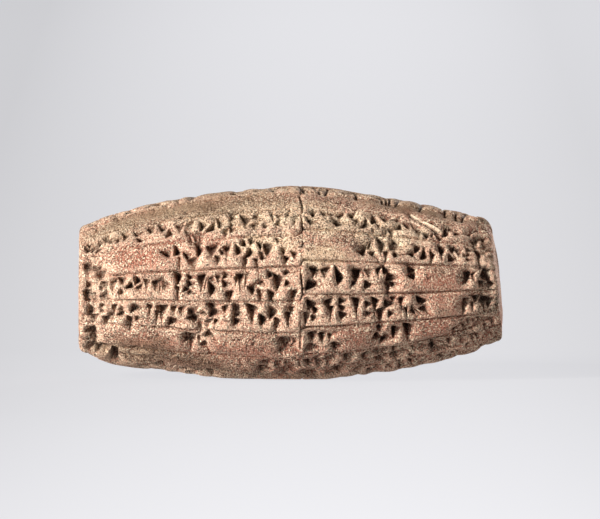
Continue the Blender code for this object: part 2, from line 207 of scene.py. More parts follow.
writing = {
    "rows": 17,
    "blankStrip": 17.3,  # degrees
    "firstRuling": 53.7,
    "rightColumnShift": 4.0,
    "rulingWidth": 0.0009,
    "rulingDepth": 0.00060,
    "rulingSpread": 0.00026,  # how far out a ruling's sides and the divider's fall away
    "rulingBase": 0.6,  # less leaves more of the rulings worn
    "rulingLeast": 0.30,  # the share of its depth that a worn ruling keeps
    "rulingLip": 0.00012,
    "lipPlace": 0.00058,  # from the ruling's middle
    "lipSpread": 0.00030,
    "rowBulge": 0.00065,
    "bulgePower": 4,
    "bulgeLean": 0.4,  # how much fuller a row is towards its lower edge
    "dividerPlace": 0.0028,
    "dividerWidth": 0.0012,
    "dividerDepth": 0.0010,
    "dividerBase": 0.6,  # the usual share of its depth, and the least and most
    "dividerRange": (0.15, 1.1),
    "marginInset": 0.0049,
    "marginWidth": 0.0009,
    "marginDepth": 0.0005,
    "marginSpread": 0.0003,
    "marginBase": 0.5,
    "marginFade": 0.003,  # how far beyond the margin line the rulings fade out
    "strokeDepth": 0.00170,
    "strokeWidth": 0.0028,
    "pressShare": 1.32,  # how much wider than the solid's simple cuts the strokes open
    "groupGap": 0.0004,
    "gapShares": (0.3, 1.3),
    "endClearance": 0.0022,
    "flatClearance": 0.0012,
    "quietChance": 0.55,  # that a row behind has an unwritten stretch
    "quietLength": (0.007, 0.018),
    "frontRows": 6,
    # stretches of the front rows left unwritten, as shares of the barrel's length from its middle
    "quietStretches": {
        ("left", 1): [(-0.42, -0.296)],
        ("left", 4): [(-0.437, -0.248), (-0.17, -0.025)],
        ("left", 5): [(-0.406, -0.072)],
        ("right", 1): [(0.036, 0.158)],
        ("right", 2): [(0.292, 0.404)],
        ("right", 3): [(0.332, 0.407)],
        ("right", 4): [(0.116, 0.196), (0.304, 0.379)],
    },
}
rowPitch = (360 - writing["blankStrip"]) / writing["rows"]
marginPlace = -halfLength + writing["marginInset"]


def columnShift(x):  # the right column's rulings stand a little higher
    share = (x - writing["dividerPlace"]) / writing["dividerWidth"] + 0.5
    return writing["rightColumnShift"] * smoothStep(share)


# Each function below makes one kind of stroke group and says how much of the row it takes up.
# A stroke is (along, up, heading, length, share of the full width), measured from the row's
# middle line. Heading 0 runs to the right and -90 down, and height is the row's.
# The strokes are placed at random in a box, so no group is a sign of any script.


def postGroup(chance, height):
    along = chance.uniform(0.06, 0.38) * height
    top = chance.uniform(0.30, 0.40) * height
    drop = chance.uniform(0.58, 0.84) * height
    strokes = [(along, top, chance.uniform(-97, -83), drop, chance.uniform(0.95, 1.15))]
    for _ in range(chance.randint(0, 2) if along > 0.18 * height else 0):
        up = chance.uniform(-0.22, 0.32) * height
        strokes.append((0, up, 0, along + 0.1 * height, 0.6))
    return strokes, along + 0.24 * height


def pairGroup(chance, height):
    step = chance.uniform(0.32, 0.46) * height
    strokes = []
    for post in range(chance.choice((2, 2, 3))):
        up = chance.uniform(0.12, 0.40) * height
        drop = up + chance.uniform(0.22, 0.42) * height
        heading = chance.uniform(-102, -78)
        strokes.append((step * post, up, heading, drop, chance.uniform(0.85, 1.15)))
    return strokes, step * len(strokes)


def fanGroup(chance, height):
    step = chance.uniform(0.30, 0.40) * height
    low = chance.uniform(-0.30, -0.12) * height
    strokes = [(0, low, 0, 2.3 * step, 0.9)]
    for post in range(2):
        up = chance.uniform(0.30, 0.40) * height
        strokes.append((step * (post + 0.6), up, -90, 0.42 * height, 0.85))
    return strokes, 2.4 * step


def cornerGroup(chance, height):
    strokes = []
    along = 0
    for _ in range(chance.randint(1, 3)):
        up = chance.uniform(-0.14, 0.36) * height
        share = chance.uniform(1.05, 1.30)
        strokes.append((along, up, chance.uniform(-40, 40), 0.42 * height, share))
        along += chance.uniform(0.29, 0.39) * height
    return strokes, along + 0.10 * height


def stackGroup(chance, height):
    reach = chance.uniform(0.40, 0.60) * height
    count = chance.randint(2, 3)
    strokes = [(0, (0.34 - 0.26 * level) * height, 0, reach, 0.72) for level in range(count)]
    strokes.append((reach + 0.08 * height, 0.40 * height, -90, 0.74 * height, 0.95))
    return strokes, reach + 0.30 * height


def slantGroup(chance, height):
    heading = chance.choice((-50, -38, 38, 50))
    up = -0.22 * height if heading > 0 else 0.38 * height
    strokes = [(0.05 * height, up, heading, chance.uniform(0.60, 0.78) * height, 0.95)]
    strokes.append((0.36 * height, -up * 0.4, -heading * 0.6, 0.40 * height, 0.7))
    return strokes, 0.62 * height


def longGroup(chance, height):
    reach = chance.uniform(0.70, 1.10) * height
    strokes = [(0, chance.uniform(0.02, 0.24) * height, 0, reach, 1.0)]
    strokes.append((0.15 * height, -0.22 * height, 0, reach * 0.7, 0.72))
    if chance.random() < 0.6:
        strokes.append((reach * 0.75, 0.38 * height, -90, 0.5 * height, 0.8))
    return strokes, reach + 0.08 * height


# A group is picked from these at random, and one that stands here more often is more common.
groups = [postGroup, postGroup, cornerGroup, cornerGroup, cornerGroup]
groups += [pairGroup, fanGroup, slantGroup, stackGroup, longGroup]


def columnSpan(column):
    divider, clear = writing["dividerPlace"], writing["dividerWidth"]
    if column == "left":
        return marginPlace + writing["marginWidth"], divider - clear
    end = float(rightFace(1, math.pi / 2)) - writing["endClearance"]
    return divider + clear, end


def quietStretches(column, row, chance):
    if row < writing["frontRows"]:
        shares = writing["quietStretches"].get((column, row), [])
        return [(a * 2 * halfLength, b * 2 * halfLength) for a, b in shares]
    if chance.random() > writing["quietChance"]:
        return []
    low, high = columnSpan(column)
    length = chance.uniform(*writing["quietLength"])
    place = chance.uniform(low, high - length)
    return [(place, place + length)]


def rowHeight(x):
    return math.radians(rowPitch) * float(bodyRadius(x)) - writing["rulingWidth"]


def rowMiddle(row):
    return writing["firstRuling"] - (row + 0.5) * rowPitch


def rowAngle(row, x, up):  # the angle of a place this far above a row's middle line
    return rowMiddle(row) + float(columnShift(x)) + math.degrees(up / float(bodyRadius(x)))


# The strokes that the solid has too: place, angle, heading, length and width
def rowStrokes(column, row):
    chance = random.Random(f"{column} row {row}")
    low, high = columnSpan(column)
    quiet = quietStretches(column, row, chance)
    found = []
    x = low + chance.uniform(0, 1) * writing["groupGap"]
    while True:
        height = rowHeight(x)
        strokes, width = chance.choice(groups)(chance, height)
        if x + width > high:
            return found
        blocked = [b for a, b in quiet if a - width < x < b]
        if blocked:
            x = max(blocked)
            quiet = [(a, b) for a, b in quiet if b > x]
            continue
        for along, up, heading, length, share in strokes:
            place = x + along
            rise = math.degrees(up / float(bodyRadius(x)))
            angle = rowMiddle(row) + float(columnShift(place)) + rise
            strokeWidth = writing["strokeWidth"] * share * height / rowHeight(barrel["bellyPlace"])
            found.append((place, angle, heading, length, strokeWidth))
        x += width + chance.uniform(*writing["gapShares"]) * writing["groupGap"]


lesser = {  # the finer strokes that stand between the others, at the margin and by the right end
    "length": (0.0022, 0.0050),
    "width": (0.0013, 0.0024),
    "up": (-0.24, 0.40),  # above the row's middle line, in row heights
    "headings": (0, 0, -90, -90, -90, -45, 35),
    "headingPlay": 12,
    "clearance": 0.55,  # from other strokes, as a share of both half widths
    "quietReach": 0.5,  # how much of its length a stroke keeps out of an unwritten stretch
    "spots": (0, 0.25, 0.5, 0.75, 1),  # where along a stroke its clearance is tested
    "narrowing": 0.8,  # how much narrower the last spot is than the first
    "tries": 130,
    # how much of a row's tries is made, by row; the rows behind are plainer
    "crowding": {0: 1.0, 1: 0.7, 2: 1.0, 3: 0.8, 4: 0.8, 5: 0.7, 15: 0.5, 16: 0.3},
    "crowdingBehind": 0.35,
    # the strokes beside the margin and at the right end: how many, length and width
    "ends": {
        "left": ((4, 6), (0.0020, 0.0040), (0.0017, 0.0028)),
        "right": ((6, 10), (0.0018, 0.0040), (0.0009, 0.0015)),
    },
    "endUp": (-0.3, 0.38),
    "endHeadings": (0, 0, -90, -90, -60, 30),
    "endInset": 0.0009,
    "rightEndStart": 0.0450,
}


def strokeSpots(x, angle, heading, length, width):  # places along a stroke, with half its width
    turn = math.radians(heading)
    radius = float(bodyRadius(x))
    spots = []
    for share in lesser["spots"]:
        arc = math.radians(angle) * radius + length * share * math.sin(turn)
        half = width / 2 * (1 - lesser["narrowing"] * share)
        spots.append((x + length * share * math.cos(turn), arc, half))
    return spots


def isClear(spots, others, clearance):
    for x, arc, half in spots:
        for otherX, otherArc, otherHalf in others:
            if math.hypot(x - otherX, arc - otherArc) < clearance * (half + otherHalf):
                return False
    return True


def lesserStrokes(column, row, taken):
    chance = random.Random(f"{column} lesser {row}")
    low, high = columnSpan(column)
    quiet = quietStretches(column, row, random.Random(f"{column} row {row}"))
    others = [spot for stroke in taken for spot in strokeSpots(*stroke)]
    found = []
    crowding = lesser["crowding"].get(row, lesser["crowdingBehind"])
    play = lesser["headingPlay"]
    for _ in range(round(lesser["tries"] * crowding)):
        x = chance.uniform(low, high)
        up = chance.uniform(*lesser["up"]) * rowHeight(x)
        heading = chance.choice(lesser["headings"]) + chance.uniform(-play, play)
        length = chance.uniform(*lesser["length"])
        stroke = (x, rowAngle(row, x, up), heading, length, chance.uniform(*lesser["width"]))
        spots = strokeSpots(*stroke)
        if any(a - lesser["quietReach"] * length < x < b for a, b in quiet):
            continue
        if isClear(spots, others, lesser["clearance"]):
            found.append(stroke)
            others += spots
    ends = (-halfLength + lesser["endInset"], marginPlace)
    if column == "right":
        face = float(rightFace(1, math.radians(rowAngle(row, high, 0))))
        ends = (lesser["rightEndStart"], face - lesser["endInset"])
    count, lengths, widths = lesser["ends"][column]
    for _ in range(round(chance.randint(*count) * crowding)):
        x = chance.uniform(*ends)
        up = chance.uniform(*lesser["endUp"]) * rowHeight(x)
        heading = chance.choice(lesser["endHeadings"])
        length = chance.uniform(*lengths)
        found.append((x, rowAngle(row, x, up), heading, length, chance.uniform(*widths)))
    return found


def aboveFlat(x, angle):
    low = float(axisHeight(x)) - float(bodyRadius(x)) * math.cos(math.radians(angle + 90))
    return low > writing["flatClearance"]


def allStrokes():
    strokes = []
    for column in ("left", "right"):
        for row in range(writing["rows"]):
            large = rowStrokes(column, row)
            strokes += large + lesserStrokes(column, row, large)
    return [stroke for stroke in strokes if aboveFlat(*stroke[:2])]


marks = {
    # start and end as (share of the length, angle), width and depth
    "scratchEdge": ((0.283, 62.5), (0.356, 46.0), 0.0007, 0.00028),  # raised, so a height
    "scratchClearing": 4,  # how many times the edge's width is wiped clear of strokes
    "grooveWall": 0.28,  # how much of a groove's width each of its sides takes
    "grooves": [
        ((-0.415, -51.0), (-0.415, -74.0), 0.0021, 0.0018),
        ((-0.400, -60.0), (-0.270, -66.0), 0.0011, 0.0008),
        ((-0.300, -70.0), (-0.140, -68.0), 0.0012, 0.0009),
        ((-0.180, -74.0), (-0.020, -72.0), 0.0012, 0.0008),
        ((0.279, 61.3), (0.350, 44.8), 0.0009, 0.0008),
        ((0.210, -47.5), (0.430, -38.0), 0.0008, 0.0006),
        ((0.080, -59.0), (0.360, -50.5), 0.0009, 0.0007),
        ((0.320, -45.0), (0.470, -33.0), 0.0007, 0.0006),
        ((0.180, -66.0), (0.400, -57.0), 0.0009, 0.0007),
    ],
    # thin cuts over the right half of the top rim: place along X as a share of the length, heading
    "ticks": [
        (0.020, -83), (0.055, -81), (0.088, -94), (0.150, -86), (0.205, -82), (0.219, -85),
        (0.233, -90), (0.262, -100), (0.315, -98), (0.357, -84), (0.384, -85), (0.416, -99),
    ],
    "tick": (97, 0.0100, 0.00075, 0.00055),  # angle, length, width and depth
    # strokes that reach over its left half, in the same way
    "rimStrokes": [
        (-0.42, -80), (-0.37, -105), (-0.32, -70), (-0.27, -85), (-0.21, -110), (-0.13, -75),
        (-0.06, -100),
    ],
    "rimStroke": (95, 0.0100, 0.0024),  # angle, length and width
    # place along X as a share of the length, angle, length, width and depth
    "chips": [
        (-0.355, -60, 0.016, 0.0050, 0.0009),
        (-0.28, -66, 0.022, 0.0042, 0.0007),
        (0.405, -44, 0.017, 0.0046, 0.0005),
        (0.02, -60, 0.014, 0.0060, 0.0008),
        (-0.455, 28, 0.006, 0.0050, 0.0006),
        (0.33, 154, 0.015, 0.0080, 0.0009),
        (-0.40, 209, 0.012, 0.0090, 0.0010),
        (0.27, -52, 0.026, 0.0044, 0.0007),
        (0.17, -62, 0.026, 0.0040, 0.0007),
        (-0.14, -73, 0.034, 0.0044, 0.0009),
    ],
    "chipRim": 1.05,  # where a chip starts to drop, in half sizes, and how slowly it does
    "chipSlope": 0.7,
    "chipReach": 1.1,
    "ledges": 3,
    "ledgeRise": 0.3,  # how much of a ledge is its steep side
    "layering": (0.35, 1, 1),  # the breaks' layers run along the barrel
}

# The fine grid that the relief is worked out on: rings from the left end to the right one

grid = {
    "around": 1040,
    "cap": 44,  # on each end face
    "corner": 12,  # round each end's edge
    "body": 640,
    "bridge": 24,  # from the body to the right corner, which doesn't lie in one plane
    "triangles": 195000,
}

capRings, cornerRings = grid["cap"], grid["corner"]
ringCount = 2 * (capRings + cornerRings) + grid["body"] + grid["bridge"]  # steps from pole to pole
angles = np.arange(grid["around"]) * 360 / grid["around"]
turns = np.radians(angles)[None, :]


# x, radius and centre height, from the side at 0 to the face at a quarter turn
def leftCorner(bend):
    corner = barrel["leftCorner"]
    radius = bodyRadius(-halfLength + corner) + waver(-halfLength, turns)
    x = -halfLength + corner * (1 - np.sin(bend))
    return x, radius - corner * (1 - np.cos(bend)), axisHeight(-halfLength)


def rightCorner(bend):
    low, high = barrel["rightCorner"]
    corner = low + (high - low) * smoothStep(np.sin(turns))
    face = rightFace(1, turns)
    radius = bodyRadius(face - corner) + waver(halfLength, turns)
    x = face - corner * (1 - np.sin(bend))
    return x, radius - corner * (1 - np.cos(bend)), axisHeight(halfLength)


def between(first, second, share):
    return tuple(a + (b - a) * share for a, b in zip(first, second))


def baseForm():
    quarter = math.pi / 2
    edge = leftCorner(quarter)
    rows = [(edge[0], edge[1] * step / capRings, edge[2]) for step in range(capRings)]
    rows += [leftCorner(quarter * (1 - step / cornerRings)) for step in range(cornerRings)]
    first = -halfLength + barrel["leftCorner"]
    last = float(rightFace(1, turns).min()) - barrel["rightCorner"][1]
    for x in np.linspace(first, last, grid["body"], endpoint=False):
        rows.append((x, bodyRadius(x) + waver(x, turns), axisHeight(x)))
    start = (last, bodyRadius(last) + waver(last, turns), axisHeight(last))
    steps = range(grid["bridge"])
    rows += [between(start, rightCorner(0), step / grid["bridge"]) for step in steps]
    rows += [rightCorner(quarter * step / cornerRings) for step in range(cornerRings)]
    radius, height = rightCorner(quarter)[1:]
    for step in range(capRings + 1):
        share = 1 - step / capRings
        rows.append((rightFace(share, turns), radius * share, height))
    shape = (1, grid["around"])
    return [np.stack([np.broadcast_to(row[part], shape)[0] for row in rows]) for part in range(3)]


gridX, gridRadius, gridHeight = baseForm()
bodyStart = capRings + cornerRings
bodyEnd = bodyStart + grid["body"] + grid["bridge"]
onBody = np.zeros((ringCount + 1, 1))  # 1 on the written side, fading out over the corners
onBody[bodyStart:bodyEnd] = 1
onBody[capRings:bodyStart, 0] = np.linspace(barrel["edgeRelief"], 1, cornerRings)
fading = (1 - barrel["edgeRelief"]) * np.linspace(0, 1, cornerRings) ** 2
onBody[bodyEnd:bodyEnd + cornerRings, 0] = 1 - fading


def barrelPoints():
    along = gridHeight + np.sin(turns) * gridRadius
    return np.stack([gridX, -np.cos(turns) * gridRadius, along], axis=-1)


def gridNormals(points):
    along = np.gradient(points, axis=0)
    around = np.roll(points, -1, axis=1) - np.roll(points, 1, axis=1)
    normals = np.cross(along, around)
    normals /= np.maximum(np.linalg.norm(normals, axis=-1, keepdims=True), 1e-12)
    normals[0] = (-1, 0, 0)
    normals[-1] = (1, 0, 0)
    return normals


def blur(field, size):  # a round blur of this size in metres, cut off at three times the size
    belt = math.tau * barrel["meanRadius"] * barrel["bellyRadius"]
    steps = (2 * halfLength / grid["body"], belt / grid["around"])
    for axis, step in enumerate(steps):
        reach = max(1, int(3 * size / step))
        offsets = np.arange(-reach, reach + 1)
        weights = np.exp(-0.5 * (offsets * step / size) ** 2)
        weights /= weights.sum()
        places = np.arange(field.shape[axis])
        total = np.zeros_like(field)
        for offset, weight in zip(offsets, weights):
            if axis == 0:
                total += weight * field[np.clip(places + offset, 0, ringCount)]
            else:
                total += weight * np.roll(field, offset, axis=1)
        field = total
    return field


def lumps(points, size, seed):  # smooth noise from -1 to 1 with lumps of this size
    side = 64  # lumps before the noise repeats
    lattice = np.random.default_rng(seed).uniform(-1, 1, (side,) * 3)
    place = points / size + side / 2
    cell = np.floor(place).astype(int)
    part = place - cell
    part = part * part * (3 - 2 * part)
    cell %= side
    following = (cell + 1) % side
    total = 0
    for corner in range(8):
        pick = [(corner >> axis) & 1 for axis in range(3)]
        index = [following[..., axis] if pick[axis] else cell[..., axis] for axis in range(3)]
        weight = 1
        for axis in range(3):
            weight = weight * (part[..., axis] if pick[axis] else 1 - part[..., axis])
        total = total + weight * lattice[index[0], index[1], index[2]]
    return total


unevenness = {
    # lump size, seed, and how much: a distance in metres, or a share
    "rulingWobble": (0.009, 11, 0.0003),
    "rulingWear": (0.006, 12, 0.9),
    "dividerBend": (0.0055, 13, 0.00055),
    "dividerWobble": (0.0016, 14, 0.00025),
    "dividerWear": (0.0028, 15, 0.8),
    "marginWear": (0.004, 16, 0.5),
    "chipOutline": (0.0018, 21, 0.30),
    "chipCrumbs": (0.0009, 22, 0.12),
    "chipLayers": (0.0022, 23, 0.30),
    "swell": (0.010, 41, 0.00012),
    "ripple": (0.0042, 42, 0.00014),
    "grain": (0.0018, 43, 0.00005),
    "endSwell": (0.006, 48, 0.00025),
}


def uneven(name, points):
    size, seed, amount = unevenness[name]
    return lumps(points, size, seed) * amount


def bell(away, spread):  # 1 in the middle, falling away on both sides
    return np.exp(-((away / spread) ** 2))


def fromLeast(least, share):  # from the least at 0 to 1 at 1
    return least + (1 - least) * share


ringLow, ringHigh = gridX.min(axis=1), gridX.max(axis=1)


def turnFrom(angle):
    return (angles - angle + 180) % 360 - 180


def window(x, angle, reach):  # the grid's rings and columns within this reach of a place
    rings = np.nonzero((ringLow < x + reach) & (ringHigh > x - reach))[0]
    rings = rings[(rings >= capRings) & (rings <= bodyEnd + cornerRings)]
    degrees = math.degrees(reach / float(bodyRadius(x)))
    columns = np.nonzero(np.abs(turnFrom(angle)) < degrees)[0]
    return np.ix_(rings, columns)


def localPlace(area, x, angle, heading):  # how far each grid point lies along and beside a stroke
    away = gridX[area] - x
    up = np.radians(turnFrom(angle)[area[1][0]])[None, :] * bodyRadius(x)
    turn = math.radians(heading)
    along = away * math.cos(turn) + up * math.sin(turn)
    beside = up * math.cos(turn) - away * math.sin(turn)
    return along, beside


print("Base form ready")

wedge = {  # the shape of one stroke: a wide deep head and a thin tail
    "headWall": 0.00040,  # how far the steep wall at the head takes to drop
    "headReach": 1.15,  # the head's length in stroke widths
    "headMost": 0.8,  # the most of a stroke's length that its head takes
    "headTaper": 0.75,  # how the head narrows and rises towards the tail: 1 is evenly
    "headFloor": 0.7,
    "wallShare": 0.60,  # how much of the half width the side walls take
    "tailWidth": 0.00078,
    "tailDepth": 0.00060,
    "tailFloor": 0.5,
    "tailLeast": 0.5,  # the share of its width that the tail keeps at its tip
    "tipShare": 0.12,  # how much of the length the tip takes to rise out of the clay
    "lip": 0.00010,
    "lipWidth": 0.00026,
    "lipLeast": 0.4,  # the share of its height that the lip keeps at the tip
    "deepest": 1.1,  # the most that a wide stroke's depth grows to
    # how unevenly the strokes are pressed
    "widths": (0.8, 1.25),
    "leans": (-0.2, 0.4),
    "skews": (-0.45, 0.45),
    "depths": (0.85, 1.25),
    # how far the clay dips towards the strokes' edges, and over what distance
    "shoulder": (0.00058, 0.00046),
    "pillow": (0.00145, 0.00120),
    "openDepth": 0.00030,  # strokes this deep pull the clay beside them down fully
    "pull": 2.2,  # how soon the clay is down as more strokes are near
    "evening": 0.70,  # how far the crowded rows are raised back to the barrel's form
    "eveningReach": 0.0028,
    "crispAngle": 40,  # sharper rims than this are shaded crisp, in degrees
}


def pressWedge(carve, lips, stroke, depth, lean, skew):
    x, angle, heading, length, width = stroke
    area = window(x, angle, length + width)
    along, beside = localPlace(area, x, angle, heading)
    along = along + skew * beside
    headLength = min(wedge["headReach"] * width, wedge["headMost"] * length)
    inHead = np.clip(1 - along / headLength, 0, 1)
    inTail = np.clip(1 - along / length, 0, 1)
    tail = wedge["tailWidth"] / 2 * fromLeast(wedge["tailLeast"], inTail)
    half = np.maximum(tail, width / 2 * inHead ** wedge["headTaper"])
    tail = wedge["tailDepth"] * inTail ** wedge["tailFloor"]
    deep = np.maximum(tail, depth * inHead ** wedge["headFloor"])
    side = beside / half + lean
    side = np.where(side > 0, side / (1 + lean), side / (1 - lean))
    across = np.clip((1 - np.abs(side)) / wedge["wallShare"], 0, 1)
    tip = np.clip((length - along) / (wedge["tipShare"] * length), 0, 1)
    ends = np.clip(along / wedge["headWall"] + 0.5, 0, 1) * tip
    carve[area] = np.maximum(carve[area], deep * across * ends)
    lip = bell(np.abs(beside) - half, wedge["lipWidth"]) * ends
    share = min(1, width / writing["strokeWidth"]) * fromLeast(wedge["lipLeast"], inTail)
    lips[area] = np.maximum(lips[area], wedge["lip"] * lip * share)


def pressGroove(carve, start, end, width, depth):
    x = start[0] * 2 * halfLength
    reach = (end[0] - start[0]) * 2 * halfLength
    rise = math.radians(end[1] - start[1]) * float(bodyRadius(x))
    length = math.hypot(reach, rise)
    area = window(x, start[1], length + width)
    along, beside = localPlace(area, x, start[1], math.degrees(math.atan2(rise, reach)))
    wall = marks["grooveWall"] * width
    floor = np.clip((width / 2 - np.abs(beside)) / wall, 0, 1)
    floor = floor * np.clip(np.minimum(along, length - along) / wall + 0.5, 0, 1)
    carve[area] = np.maximum(carve[area], depth * floor)
    return area, floor


def writeStrokes():
    carve = np.zeros_like(gridX)
    lips = np.zeros_like(gridX)
    chance = random.Random("depths")
    strokes = allStrokes()
    angle, length, width = marks["rimStroke"]
    for share, heading in marks["rimStrokes"]:
        strokes.append((share * 2 * halfLength, angle, heading, length, width))
    for x, angle, heading, length, width in strokes:
        depth = writing["strokeDepth"] * min(wedge["deepest"], width / writing["strokeWidth"])
        width = width * writing["pressShare"] * chance.uniform(*wedge["widths"])
        lean, skew = chance.uniform(*wedge["leans"]), chance.uniform(*wedge["skews"])
        depth = depth * chance.uniform(*wedge["depths"])
        pressWedge(carve, lips, (x, angle, heading, length, width), depth, lean, skew)
    print("Strokes pressed:", len(strokes))
    return carve, lips


def pressMarks(carve):  # also the scratch's raised edge, where clay is bare, and the painted shade in the ticks
    raised, bare, shade, cleared = (np.zeros_like(gridX) for _ in range(4))
    start, end, width, _ = marks["scratchEdge"]
    pressGroove(cleared, start, end, marks["scratchClearing"] * width, 1)
    carve *= 1 - cleared
    for groove in marks["grooves"]:
        pressGroove(carve, *groove)
    angle, length, width, depth = marks["tick"]
    for share, heading in marks["ticks"]:
        radius = float(bodyRadius(share * 2 * halfLength))
        lastShare = share + length * math.cos(math.radians(heading)) / (2 * halfLength)
        lastAngle = angle + math.degrees(length * math.sin(math.radians(heading)) / radius)
        area, floor = pressGroove(carve, (share, angle), (lastShare, lastAngle), width, depth)
        # painted shade: the ticks' grooves are darkened so they read dark
        shade[area] = np.maximum(shade[area], floor)
    area, floor = pressGroove(raised, *marks["scratchEdge"])
    bare[area] = floor
    return raised, bare, shade


def pillowDepth(carve):  # how far the clay beside the strokes is pulled down
    opened = smoothStep(carve / wedge["openDepth"])
    depths = 0
    for depth, reach in (wedge["shoulder"], wedge["pillow"]):
        depths = depths + depth * (1 - np.exp(-wedge["pull"] * blur(opened, reach)))
    return depths - wedge["evening"] * blur(depths, wedge["eveningReach"])


def ruledLines(points):  # depth of the rulings, divider and margin line, and the rows' soft bulge
    wobble = uneven("rulingWobble", points) / gridRadius.clip(barrel["leastRadius"])
    shifted = writing["firstRuling"] + columnShift(gridX) - angles[None, :] + np.degrees(wobble)
    rows = shifted % 360 / rowPitch
    turn = 360 / rowPitch
    rows = np.where(rows > (turn + writing["rows"]) / 2, rows - turn, rows)
    nearest = np.clip(np.rint(rows), 0, writing["rows"])
    away = np.radians((rows - nearest) * rowPitch) * gridRadius
    wear = smoothStep(writing["rulingBase"] + uneven("rulingWear", points))
    fade = writing["marginFade"]
    strength = fromLeast(writing["rulingLeast"], wear)
    strength = strength * smoothStep((gridX - marginPlace + fade) / fade)
    ruling = writing["rulingDepth"] * bell(away, writing["rulingSpread"]) * strength
    lip = bell(np.abs(away) - writing["lipPlace"], writing["lipSpread"])
    lip = writing["rulingLip"] * lip * strength
    inRow = (rows % 1) * 2 - 1
    written = (rows > 0) & (rows < writing["rows"])
    bulge = writing["rowBulge"] * (1 - inRow ** writing["bulgePower"])
    bulge = bulge * (1 + writing["bulgeLean"] * inRow) * written
    bend = uneven("dividerBend", points) + uneven("dividerWobble", points)
    away = gridX - writing["dividerPlace"] - bend
    share = (writing["dividerBase"] + uneven("dividerWear", points)).clip(*writing["dividerRange"])
    divider = writing["dividerDepth"] * bell(away, writing["rulingSpread"]) * share
    away = gridX - marginPlace - bend
    share = writing["marginBase"] + uneven("marginWear", points)
    margin = writing["marginDepth"] * bell(away, writing["marginSpread"]) * share
    return np.maximum(np.maximum(ruling, divider), margin), bulge + lip


def chipDepth(points):  # breaks with ragged outlines, which step down in ledges
    total = np.zeros_like(gridX)
    layered = points * marks["layering"]
    ragged = uneven("chipOutline", layered) + uneven("chipCrumbs", points)
    layers = uneven("chipLayers", layered)
    for share, angle, length, width, depth in marks["chips"]:
        x = share * 2 * halfLength
        area = window(x, angle, length)
        along, beside = localPlace(area, x, angle, 0)
        reach = np.hypot(along / (length / 2), beside / (width / 2)) + ragged[area]
        level = (marks["chipRim"] - reach) / marks["chipSlope"] + layers[area]
        level = np.clip(level, 0, 1) * marks["ledges"]
        level = np.floor(level) + smoothStep((level % 1) / marks["ledgeRise"])
        level = level * (reach < marks["chipReach"])
        total[area] = np.maximum(total[area], depth * level / marks["ledges"])
    return total


zones = {
    # for each kind of clay a seed and its soft patches: place along X as a share of the length,
    # angle, half length, and half width in degrees
    "cream": (35, [  # pale crust along the top
        (-0.13, 50, 0.014, 14), (0.02, 50, 0.014, 16), (0.12, 46, 0.015, 16),
        (0.20, 34, 0.012, 12), (0.25, 44, 0.010, 9), (-0.05, 28, 0.011, 8),
        (0.09, 20, 0.008, 10),
    ]),
    "rough": (31, [
        (0.0, 46, 0.030, 22), (0.16, 42, 0.022, 15), (0.02, -50, 0.020, 22),
        (-0.2, 52, 0.02, 12),
    ]),
    "calm": (33, [  # smooth unwritten clay
        (-0.34, -41, 0.012, 9), (-0.10, -42, 0.009, 9), (-0.24, -60, 0.020, 9),
        (0.10, 22, 0.0075, 8), (0.35, 3, 0.0065, 8), (0.37, -17, 0.005, 8),
        (0.155, -37, 0.0055, 8), (0.34, -38, 0.005, 8), (-0.3, 68, 0.022, 10),
        (0.3, 68, 0.022, 8),
    ]),
    "dull": (37, [  # greyer clay over the top
        (0.0, 92, 0.080, 22), (-0.26, 64, 0.036, 15), (-0.42, 56, 0.012, 16),
        (0.30, 70, 0.020, 9),
    ]),
    "olive": (39, [(-0.33, -56, 0.026, 19), (-0.08, -68, 0.026, 12), (0.0, 230, 0.03, 30)]),
    "worn": (53, [  # rubbed pale
        (-0.465, 5, 0.009, 50), (0.455, 12, 0.009, 36), (0.33, -50, 0.026, 12),
        (0.44, -30, 0.012, 14),
    ]),
    "rosy": (51, [
        (0.355, 0, 0.014, 17), (0.30, -34, 0.032, 18), (0.10, -44, 0.026, 12),
        (-0.10, -43, 0.018, 10), (0.24, -60, 0.040, 18), (-0.375, 22, 0.015, 13),
        (-0.24, 32, 0.014, 9), (0.1, 150, 0.03, 35),
    ]),
    "reach": 1.3,  # where a patch ends, in half sizes
    "edges": [(0.005, 0.35), (0.0016, 0.25)],  # lump size and share of its ragged outline
}


def zone(name, points):
    seed, patches = zones[name]
    total = np.zeros_like(gridX)
    for share, angle, halfAlong, halfAround in patches:
        along = (gridX - share * 2 * halfLength) / halfAlong
        around = turnFrom(angle)[None, :] / halfAround
        total = np.maximum(total, zones["reach"] - np.hypot(along, around))
    for step, (size, share) in enumerate(zones["edges"]):
        total = total + share * lumps(points, size, seed + step)
    return smoothStep(total)


surface = {
    "rim": (94, 17),  # where strokes reach over the top: its angle and half width
    "rimWear": {"strokes": 0.4, "pillows": 0.6, "rows": 0.7},
    "roughWear": {"strokes": 0.3, "pillows": 0.2},
    "behind": (105, 30),  # how far from the front the plainer sides start, and how slowly
    "behindSoftness": 0.00028,
    "behindCalm": 0.7,
    "strokeSoftness": 0.00009,
    "calmGrain": 0.5,  # how much of the grain is missing from calm clay
    "fewHoles": 0.15,  # the share of the holes that other clay has too
    # lump size, seed, where the hollows start, how slowly, and their depth
    "holes": (0.0012, 46, 0.42, 0.3, 0.00030),
    "dents": (0.0032, 47, 0.30, 0.4, 0.00035),
    "lowering": 0.0002,  # of the whole relief, which keeps the solid's size
    "wornBare": (0.08, 0.12),  # how bare worn clay is, and how much more its lips
    "ridge": (0.0009, 0.0003),  # how wide and high a ridge is that looks pale: wear, and a painted highlight on raised clay
    # how much of the rulings' depth counts towards the painted shade in the pits
    "lineShade": 0.6,
    "pit": (0.0003, 0.0011),  # painted shade in the pits: how deep a pit is where it starts to look dark, and how much deeper it is fully so
    "roughChip": 0.0004,  # chips this deep look rough all over
}


def hollows(name, points):
    size, seed, start, spread, depth = surface[name]
    return smoothStep((lumps(points, size, seed) - start) / spread) * depth


